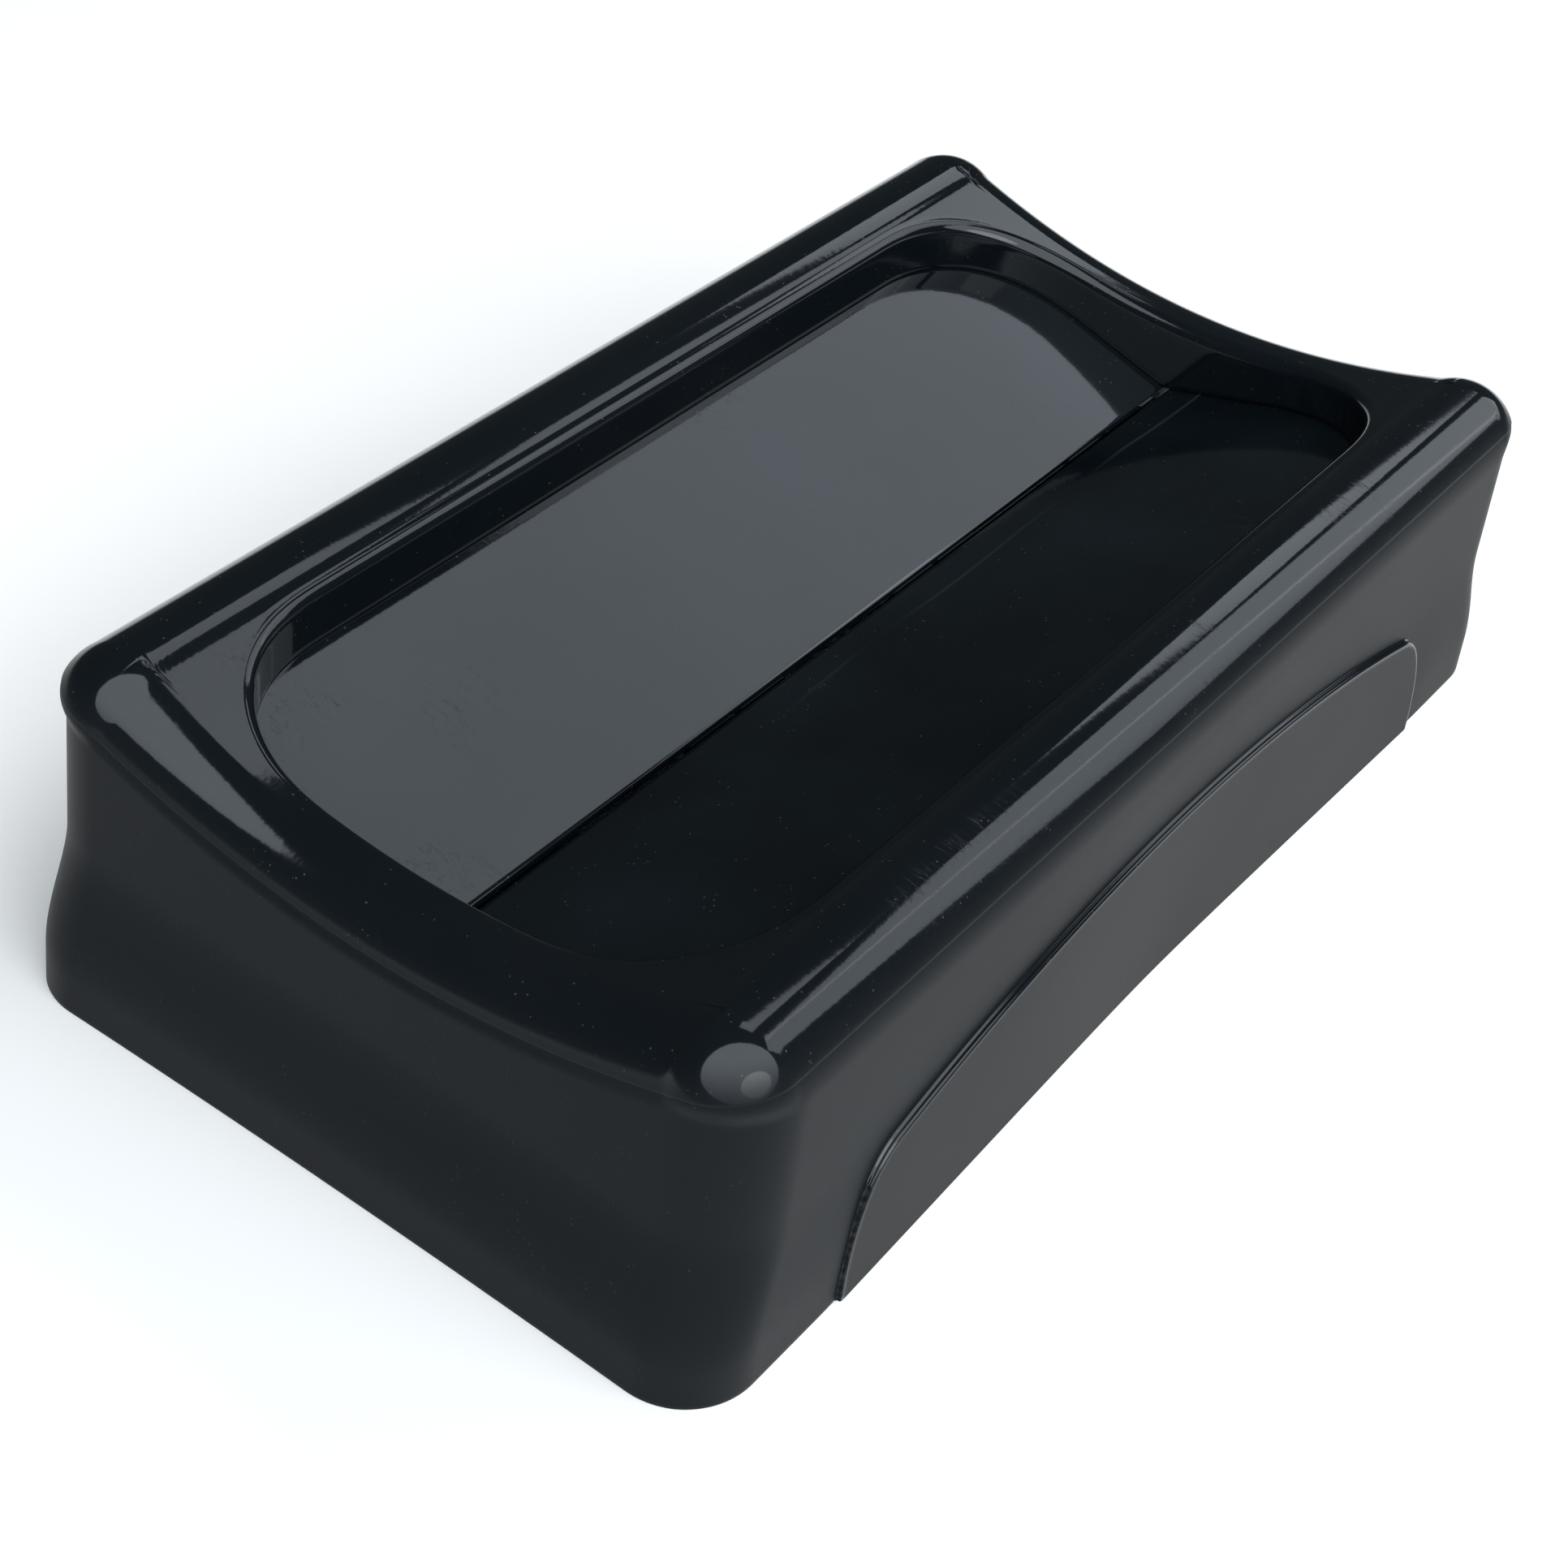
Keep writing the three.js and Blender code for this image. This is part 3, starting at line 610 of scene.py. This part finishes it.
# ---------- springs, rod and fixings ----------
def spring_piece(place, turn):
    """Torsion spring: a tang towards the rod, its coil, and a leg that lies under the flap."""
    lean = math.atan(SLOPE)
    last = math.pi / 2 + lean
    first = last + SPRING["turns"] * 2 * math.pi
    per_turn = 40
    count = SPRING["turns"] * per_turn
    tang = ROD_RADIUS + 1, SPRING["radius"] - 0.5
    path = [(0, tang[0] * math.cos(first), tang[0] * math.sin(first)),
            (0.05, tang[1] * math.cos(first), tang[1] * math.sin(first))]
    for i in range(count + 1):
        angle = first + (last - first) * i / count
        rise = 0.3 + SPRING["pitch"] * i / per_turn
        path.append((rise, SPRING["radius"] * math.cos(angle), SPRING["radius"] * math.sin(angle)))
    end = np.array(path[-1])
    for share in (0.02, 0.1, 0.4, 0.7, 1.0):
        path.append(tuple(end + np.array((0, math.cos(lean), math.sin(lean))) * share * SPRING["leg"]))
    path = np.array(path)
    tangent = np.gradient(path, axis=0)
    tangent /= np.linalg.norm(tangent, axis=1)[:, None]
    across = np.cross(tangent, (1, 0, 0))
    across /= np.linalg.norm(across, axis=1)[:, None]
    other = np.cross(tangent, across)
    angles = 2 * math.pi * np.arange(14) / 14
    rows = [p + SPRING["wire"] * (np.cos(angles)[:, None] * a + np.sin(angles)[:, None] * b)
            for p, a, b in zip(path, across, other)]
    piece = smooth(loft(rows, "capped"), 50)
    piece.data.transform(Matrix.Translation(Vector(place) * MM) @ Matrix.Rotation(turn, 4, "Z"))
    return piece


def screw_piece(low):
    """Pan-head screw, head down, its head's lowest point at low."""
    profile = [(0.6, 0), (1.7, 0.05), (2.35, 0.35), (2.8, 0.9), (3.0, 1.45), (2.95, 1.9), (2.7, 2.1),
               (THREAD["crest"], THREAD["start"])]
    height = THREAD["start"]
    while height < THREAD["end"]:
        profile += [(THREAD["core"], height + 0.12), (THREAD["core"], height + 0.42),
                    (THREAD["crest"], height + 0.72), (THREAD["crest"], height + 0.8)]
        height += THREAD["pitch"]
    profile += [(1.1, 13.2), (0.6, 14.8), (0.05, 15)]
    piece = loft(turned(profile, low, count=36), "capped")
    arms = []
    for x, y in ((1.55, 0.42), (0.42, 1.55)):
        arms.append(block((low[0] - x, low[0] + x), (low[1] - y, low[1] + y), (low[2] - 1, low[2] + 1.1), 0))
    return smooth(cut(piece, arms), 32)


def retainer_piece():
    """Plate under the right-hand lug whose tongue holds the rod up."""
    low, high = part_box("right_rod_retainer")
    x = (low.x / MM, high.x / MM)
    top = LUG["bottom"] - 0.3
    plate = block(x, (low.y / MM, high.y / MM), (low.z / MM, top), 0)
    bore = [(1.85, low.z / MM - 1), (1.85, top + 1)]
    holes = [loft(turned(bore, ((x[0] + x[1]) / 2, y, 0), count=32), "capped") for y in (-SCREW_Y, SCREW_Y)]
    rounded(cut(plate, holes), 0.35)
    tongue = block((x[0] + 0.5, x[1] - 0.5), (-2.3, 2.3), (top - 1, high.z / MM), 0.3)
    return smooth(joined([plate, tongue]))


def bumper_piece():
    x, y = ((low + high) / 2 / MM for low, high in zip(BUMPER_LOW[:2], BUMPER_HIGH[:2]))
    profile = [(0.3, 0), (2.4, 0.02), (3.2, 0.18), (3.75, 0.6), (4, 1.2), (4, 2.1), (3.7, 2.45), (1.5, 2.5),
               (1.4, 2.7), (1.4, 5.3), (1.1, 6.1), (0.6, 6.45), (0.1, 6.5)]
    return smooth(loft(turned(profile, (x, y, BUMPER_LOW.z / MM), count=36), "capped"), 50)


# ---------- finishes ----------
class Socket:
    """A socket of a finish; arithmetic on it adds Math nodes."""

    def __init__(self, finish, socket):
        self.finish = finish
        self.socket = socket

    def math(self, operation, other, swapped=False):
        values = (other, self) if swapped else (self, other)
        return self.finish.node("ShaderNodeMath", {"operation": operation}, dict(enumerate(values)))

    def __add__(self, other):
        return self.math("ADD", other)

    __radd__ = __add__

    def __sub__(self, other):
        return self.math("SUBTRACT", other)

    def __rsub__(self, other):
        return self.math("SUBTRACT", other, True)

    def __mul__(self, other):
        return self.math("MULTIPLY", other)

    __rmul__ = __mul__

    def __gt__(self, other):
        return self.math("GREATER_THAN", other)

    def __lt__(self, other):
        return self.math("LESS_THAN", other)


class Finish:
    """A material as it is mixed: node() adds any node and hands back a socket of it."""

    def __init__(self, name):
        self.material = bpy.data.materials.new(name)
        self.material.use_nodes = True
        self.tree = self.material.node_tree
        self.tree.nodes.clear()
        coordinates = self.tree.nodes.new("ShaderNodeTexCoord")
        self.place = Socket(self, coordinates.outputs["Object"])
        self.facing = Socket(self, coordinates.outputs["Normal"])

    def node(self, kind, settings=None, inputs=None, output=0):
        made = self.tree.nodes.new(kind)
        for key, value in (settings or {}).items():
            setattr(made, key, value)
        for key, value in (inputs or {}).items():
            if isinstance(value, Socket):
                self.tree.links.new(value.socket, made.inputs[key])
            else:
                made.inputs[key].default_value = value
        return Socket(self, made.outputs[output])

    def axis(self, vector, letter):
        return self.node("ShaderNodeSeparateXYZ", None, {0: vector}, "XYZ".index(letter))

    def noise(self, scale, detail=3.0, stretch=(1, 1, 1), roughness=0.5, turn=(0, 0, 0)):
        place = self.node("ShaderNodeMapping", None, {
            "Vector": self.place, "Scale": stretch, "Rotation": turn})
        return self.node("ShaderNodeTexNoise", None, {
            "Vector": place, "Scale": scale, "Detail": detail, "Roughness": roughness})

    def between(self, value, low, high, out_low=0.0, out_high=1.0):
        return self.node("ShaderNodeMapRange", {"interpolation_type": "SMOOTHSTEP"}, {
            "Value": value, "From Min": low, "From Max": high, "To Min": out_low, "To Max": out_high})

    def tint(self, factor, first, second):
        return self.node("ShaderNodeMix", {"data_type": "RGBA"}, {
            0: factor, 6: first if isinstance(first, Socket) else (*first, 1),
            7: second if isinstance(second, Socket) else (*second, 1)}, 2)

    def bump(self, height, distance, strength=1.0, normal=None):
        inputs = {"Height": height, "Distance": distance, "Strength": strength}
        if normal:
            inputs["Normal"] = normal
        return self.node("ShaderNodeBump", None, inputs)

    def size_of(self, value):
        """A value without its sign."""
        return self.node("ShaderNodeMath", {"operation": "ABSOLUTE"}, {0: value})

    def plastic(self, **inputs):
        named = {key.replace("_", " "): value for key, value in inputs.items()}
        return self.node("ShaderNodeBsdfPrincipled", None, named)

    def shown(self, shader):
        """Ends the finish with a shader and hands back the material."""
        output = self.tree.nodes.new("ShaderNodeOutputMaterial")
        self.tree.links.new(shader.socket, output.inputs["Surface"])
        return self.material


def scratches(finish, scale, turn, width=0.02):
    """Sparse hair scratches running one way."""
    long = finish.noise(scale, 2.0, (1.0, 0.035, 1.0), 0.5, turn)
    patches = finish.between(finish.noise(14.0, 2.0), 0.52, 0.66)
    return finish.between(finish.size_of(long - 0.5), 0.0, width, 1.0, 0.0) * patches


def dust(finish, scale, density):
    cells = finish.node("ShaderNodeTexVoronoi", None, {"Vector": finish.place, "Scale": scale}, "Distance")
    spots = finish.between(cells, 0.10, 0.17, 1.0, 0.0)
    return spots * finish.between(finish.noise(scale * 0.21, 2.0), density, density + 0.08)


ROUGH_STEP = (0.1805, 0.1915, 0.052)  # the arched panel's rough ends: from, to and top, in metres


def moulded_shell():
    """Near-black moulded plastic: glossy on the rolls and the collar, satin on the skirts."""
    finish = Finish("moulded_shell")
    gloss = finish.node("ShaderNodeAttribute", {"attribute_name": "gloss"}, None, "Fac")
    height = finish.axis(finish.place, "Z")
    along = finish.axis(finish.place, "X")
    side = finish.size_of(along)
    sideways = finish.size_of(finish.axis(finish.facing, "X"))
    step = (side > ROUGH_STEP[0]) * (side < ROUGH_STEP[1]) * (sideways > 0.5) * (height < ROUGH_STEP[2])
    cloud = finish.noise(7.0, 4.0)
    grain = finish.noise(900.0, 2.0)
    flow = finish.noise(26.0, 3.0, (0.25, 1.0, 1.0))
    specks = dust(finish, 420.0, 0.55)
    hair = scratches(finish, 260.0, (0, 0, 0.35)) + scratches(finish, 310.0, (0, 0.2, -0.9))
    colour = finish.tint(finish.between(cloud, 0.3, 0.7), (0.0030, 0.0046, 0.0062), (0.0046, 0.0060, 0.0074))
    colour = finish.tint(specks * 0.25, colour, (0.14, 0.13, 0.12))
    rust = finish.between(finish.noise(420.0, 4.0), 0.45, 0.6)
    colour = finish.tint(step * rust, colour, (0.03, 0.032, 0.034))
    matt = finish.tint(0.5, colour, (0.0070, 0.0085, 0.0095))
    waves = finish.bump(flow, 0.0011, 0.10)
    fine = finish.bump(grain + step * finish.noise(520.0, 4.0) * 9, 0.00007, 0.5)
    peel = finish.bump(finish.noise(340.0, 2.0), 0.00006, 0.25, waves)
    dull = 0.42 + 0.12 * (cloud - 0.5) + 0.2 * step + 0.2 * specks
    clear = 0.075 + 0.05 * (cloud - 0.5) + 0.12 * hair + 0.35 * specks
    satin = finish.plastic(Base_Color=matt, Roughness=dull, Normal=fine, Specular_IOR_Level=0.074)
    shine = finish.plastic(Base_Color=colour, Roughness=clear, Normal=peel, Specular_IOR_Level=0.5)
    both = finish.node("ShaderNodeMixShader", None, {0: gloss * (1 - step), 1: satin, 2: shine})
    return finish.shown(both)


def moulded_flap():
    """High-gloss moulded plastic, with the slight waves of a thin flat moulding, and a painted highlight
    line where the front flap would reflect the back rim's lip.
    """
    finish = Finish("moulded_flap")
    cloud = finish.noise(9.0, 4.0)
    specks = dust(finish, 380.0, 0.56)
    hair = scratches(finish, 240.0, (0, 0, 1.1)) + scratches(finish, 280.0, (0, 0, -0.4))
    rough = 0.07 + 0.04 * (cloud - 0.5) + 0.14 * hair + 0.35 * specks
    colour = finish.tint(finish.between(cloud, 0.3, 0.7), (0.0017, 0.0026, 0.0040), (0.0048, 0.0074, 0.0088))
    colour = finish.tint(specks * 0.2, colour, (0.14, 0.13, 0.12))
    # Painted highlight: a thin, broken, wavy light line on the front flap about 14 mm from the valley,
    # standing in for the reflection of the back rim's lip.
    painted_line_offset = finish.axis(finish.place, "Y") + 0.014 + 0.012 * (finish.noise(8.0, 2.0) - 0.5)
    mark = finish.between(finish.size_of(painted_line_offset), 0.0002, 0.0011, 1.0, 0.0)
    mark = mark * finish.between(finish.noise(5.0, 2.0), 0.44, 0.56)
    colour = finish.tint(mark * 0.14, colour, (0.12, 0.125, 0.13))
    waves = finish.bump(finish.noise(9.0, 2.0, (0.5, 1.0, 1.0)), 0.0020, 0.22)
    peel = finish.bump(finish.noise(300.0, 2.0), 0.00005, 0.3, waves)
    shine = finish.plastic(Base_Color=colour, Roughness=rough, Normal=peel, Specular_IOR_Level=0.5)
    return finish.shown(shine)


def drawn_steel(name, colour, low, high, stretch):
    finish = Finish(name)
    lines = finish.noise(900.0, 3.0, stretch)
    stain = finish.between(finish.noise(60.0, 4.0), 0.5, 0.7)
    rough = low + (high - low) * lines + 0.12 * stain
    tone = finish.tint(stain * 0.5, colour, [value * 0.55 for value in colour])
    tone = finish.tint(finish.between(lines, 0.3, 0.7) * 0.4, tone, [value * 0.75 for value in colour])
    fine = finish.bump(lines, 0.00003, 0.4)
    return finish.shown(finish.plastic(Base_Color=tone, Roughness=rough, Metallic=1.0, Normal=fine))


def moulded_acetal():
    finish = Finish("moulded_acetal")
    cloud = finish.noise(160.0, 3.0)
    tone = finish.tint(finish.between(cloud, 0.3, 0.7), (0.72, 0.71, 0.66), (0.60, 0.58, 0.52))
    fine = finish.bump(finish.noise(1400.0, 2.0), 0.00002, 0.4)
    return finish.shown(finish.plastic(Base_Color=tone, Roughness=0.38 + 0.2 * (cloud - 0.5), Normal=fine))


def stop_rubber():
    finish = Finish("stop_rubber")
    cloud = finish.noise(220.0, 4.0)
    bloom = finish.between(cloud, 0.5, 0.72)
    tone = finish.tint(bloom * 0.5, (0.011, 0.011, 0.011), (0.04, 0.04, 0.038))
    fine = finish.bump(finish.noise(1800.0, 3.0), 0.00005, 0.6)
    return finish.shown(finish.plastic(Base_Color=tone, Roughness=0.72 + 0.2 * (cloud - 0.5), Normal=fine))


def painted_floor():
    finish = Finish("studio_floor")
    cloud = finish.noise(3.0, 3.0)
    tone = finish.tint(finish.between(cloud, 0.3, 0.7), (0.895, 0.86, 0.825), (0.88, 0.845, 0.81))
    # Painted shade: the floor turns grey from 0.9 m to 1.9 m out from the middle, darkening the far floor
    # that the lid's glossy sides reflect.
    distance = finish.node("ShaderNodeVectorMath", {"operation": "LENGTH"}, {0: finish.place}, "Value")
    tone = finish.tint(finish.between(distance, 0.9, 1.9), tone, (0.34, 0.34, 0.34))
    rough = 0.75 + 0.1 * (cloud - 0.5)
    return finish.shown(finish.plastic(Base_Color=tone, Roughness=rough, Specular_IOR_Level=0.2))


SHELL = moulded_shell()
FLAP = moulded_flap()
STEEL = drawn_steel("drawn_steel", (0.56, 0.57, 0.58), 0.18, 0.42, (0.03, 1.0, 1.0))
SCREW = drawn_steel("turned_steel", (0.50, 0.50, 0.51), 0.22, 0.45, (1.0, 1.0, 0.2))
WIRE = drawn_steel("spring_wire", (0.38, 0.39, 0.40), 0.25, 0.5, (1.0, 0.3, 0.3))
ACETAL = moulded_acetal()
RUBBER = stop_rubber()


def fitted(piece, name, node, body, material):
    """Names a finished piece, gives it its finish, and sets it in a CAD node's stead."""
    piece.name = name
    piece.data.name = name
    piece.data.materials.clear()
    piece.data.materials.append(material)
    for polygon in piece.data.polygons:
        polygon.material_index = 0
    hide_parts(node)
    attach(piece, body)
    return piece


# ---------- the pieces ----------
rows, gloss = shell_rows()
shell = loft(rows, "closed", gloss)
only(shell)
bpy.ops.object.shade_smooth()
panels = [arch_panel(side) for side in (-1, 1)]
for panel in panels:
    only(panel)
    bpy.ops.object.shade_smooth()
lugs = [smooth(lug(side)) for side in (-1, 1)]
post_x, post_y = POST_AT
posts = [smooth(bumper_post(x, y)) for x in (-post_x, post_x) for y in (-post_y, post_y)]
fitted(joined([shell, *panels, *lugs, *posts]), "shell_moulding", "lid_shell", "lid", SHELL)

rear = joined(flap_pieces())
front = copied(rear, HALF_TURN)
fitted(rear, "rear_flap_moulding", "rear_flap", "rear_door", FLAP)
fitted(front, "front_flap_moulding", "front_flap", "front_door", FLAP)

half_rod = ROD_HIGH.x / MM
rod_profile = [(0.1, -half_rod), (ROD_RADIUS - 0.6, -half_rod), (ROD_RADIUS, -half_rod + 0.6),
               (ROD_RADIUS, half_rod - 0.6), (ROD_RADIUS - 0.6, half_rod), (0.1, half_rod)]
rod = smooth(loft(turned(rod_profile, (0, 0, AXIS_Z), "X", 48), "capped"))
fitted(rod, "hinge_rod_bar", "hinge_rod", "lid", STEEL)

rear_spring = spring_piece((-SPRING_X, 0, AXIS_Z), 0)
front_spring = spring_piece((SPRING_X, 0, AXIS_Z), math.pi)
fitted(rear_spring, "rear_spring_coil", "rear_flap_spring", "rear_door", WIRE)
fitted(front_spring, "front_spring_coil", "front_flap_spring", "front_door", WIRE)

retainer = retainer_piece()
fitted(copied(retainer, HALF_TURN), "left_retainer_plate", "left_rod_retainer", "lid", SHELL)
fitted(retainer, "right_retainer_plate", "right_rod_retainer", "lid", SHELL)

for name in ("left_rod_washer", "right_rod_washer"):
    low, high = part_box(name)
    x, thick = (low.x + high.x) / 2 / MM, (high.x - low.x) / MM
    half, soft = thick / 2, 0.25
    inner, outer = BORE_RADIUS, WASHER_RADIUS
    profile = [(inner, soft - half), (inner + soft, -half), (outer - soft, -half), (outer, soft - half),
               (outer, half - soft), (outer - soft, half), (inner + soft, half), (inner, half - soft),
               (inner, soft - half)]
    washer = smooth(loft(turned(profile, (x, 0, AXIS_Z), "X", 44)))
    fitted(washer, name + "_ring", name, "lid", ACETAL)

low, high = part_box("right_rear_retainer_screw")
first_place = Vector(((low.x + high.x) / 2, (low.y + high.y) / 2, low.z))
screw = screw_piece(tuple(first_place / MM))
for name in ("left_front", "left_rear", "right_front", "right_rear"):
    node = name + "_retainer_screw"
    low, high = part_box(node)
    place = Vector(((low.x + high.x) / 2, (low.y + high.y) / 2, low.z))
    spin = Matrix.Translation(place) @ Matrix.Rotation(0.4 * len(name), 4, "Z")
    turned_screw = copied(screw, spin @ Matrix.Translation(-first_place))
    fitted(turned_screw, name + "_screw", node, "lid", SCREW)
bpy.data.objects.remove(screw)

bumper = bumper_piece()
first_place = (BUMPER_LOW + BUMPER_HIGH) / 2
for name in ("front_left", "front_right", "rear_left", "rear_right"):
    node = name + "_stop_bumper"
    low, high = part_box(node)
    move = Matrix.Translation((low + high) / 2 - first_place)
    fitted(copied(bumper, move), name + "_bumper", node, "lid", RUBBER)
bpy.data.objects.remove(bumper)

# ---------- floor, light and camera ----------
bpy.ops.object.select_all(action="DESELECT")
bpy.ops.mesh.primitive_grid_add(x_subdivisions=8, y_subdivisions=8, size=14)
floor = bpy.context.object
floor.name = "studio_floor"
floor.data.materials.append(painted_floor())


def direction(azimuth, elevation):
    azimuth, elevation = math.radians(azimuth), math.radians(elevation)
    return Vector((math.cos(azimuth) * math.cos(elevation), math.sin(azimuth) * math.cos(elevation),
                   math.sin(elevation)))


def softbox(name, azimuth, elevation, distance, size, radiance, colour=(1, 1, 1), shape="RECTANGLE"):
    """A soft light that faces the lid from a direction, with an even brightness."""
    light = bpy.data.lights.new(name, "AREA")
    light.shape = shape
    light.size, light.size_y = size
    light.energy = radiance * math.pi * size[0] * size[1] * (math.pi / 4 if shape == "ELLIPSE" else 1)
    light.color = colour
    lamp = bpy.data.objects.new(name, light)
    towards = direction(azimuth, elevation)
    lamp.location = Vector((0, 0, 0.1)) + towards * distance
    lamp.rotation_euler = towards.to_track_quat("Z", "Y").to_euler()
    bpy.context.scene.collection.objects.link(lamp)
    return lamp


def lights_only(lamp, pieces):
    """Keeps a light to the named pieces, as a flag in front of it would."""
    group = bpy.data.collections.new(lamp.name + "_pieces")
    for piece in pieces:
        group.objects.link(piece)
    lamp.light_linking.receiver_collection = group


BLUISH = (0.84, 0.92, 1.0)
softbox("sky_softbox", -132, 50, 3.4, (9.4, 6.0), 2.5, BLUISH, "ELLIPSE")
softbox("key_softbox", -110, 30, 3.0, (2.3, 1.7), 2.8, (0.96, 0.98, 1.0), "ELLIPSE")
softbox("front_softbox", -27, 34, 3.2, (1.84, 2.1), 1.9, BLUISH)
softbox("front_strip", -28, 34, 3.1, (0.08, 2.0), 1.2)
lights_only(softbox("flap_softbox", 8, 46, 3.2, (1.5, 1.7), 1.85, (0.82, 0.91, 1.0)), [rear, front])
lights_only(softbox("fan_softbox", 31, 26, 3.2, (0.5, 0.5), 0.35, BLUISH), [front])
lights_only(softbox("trough_softbox", 14, 59, 3.2, (0.9, 0.62), 1.8, BLUISH), [shell])
lights_only(softbox("far_softbox", 10, 37, 3.2, (1.0, 0.5), 2.0, BLUISH), [shell])
lights_only(softbox("floor_softbox", -22, 36, 3.2, (1.8, 1.8), 3.5, (1.0, 0.97, 0.93)), [floor])

world = bpy.data.worlds.new("studio")
bpy.context.scene.world = world
world.use_nodes = True
world.node_tree.nodes["Background"].inputs["Color"].default_value = (0.78, 0.93, 1.0, 1)
world.node_tree.nodes["Background"].inputs["Strength"].default_value = 0.06

CAMERA_PLACE = (-0.6987, -0.4124, 0.6775)
AZIMUTH, ELEVATION, TWIST = math.radians(-58.40), math.radians(39.78), math.radians(7.65)
ahead = Vector((-math.sin(AZIMUTH) * math.cos(ELEVATION), math.cos(AZIMUTH) * math.cos(ELEVATION),
                -math.sin(ELEVATION)))
across = ahead.cross(Vector((0, 0, 1))).normalized()
upward = across.cross(ahead)
right = math.cos(TWIST) * across + math.sin(TWIST) * upward
up = -math.sin(TWIST) * across + math.cos(TWIST) * upward
camera = bpy.data.objects.new("camera", bpy.data.cameras.new("camera"))
camera.data.lens = 66.08
camera.data.sensor_width = 36
camera.data.clip_start = 0.01
turn = Matrix((right, up, -ahead)).transposed().to_4x4()
camera.matrix_world = Matrix.Translation(CAMERA_PLACE) @ turn
bpy.context.scene.collection.objects.link(camera)
bpy.context.scene.camera = camera
bpy.context.scene.view_settings.view_transform = "Standard"
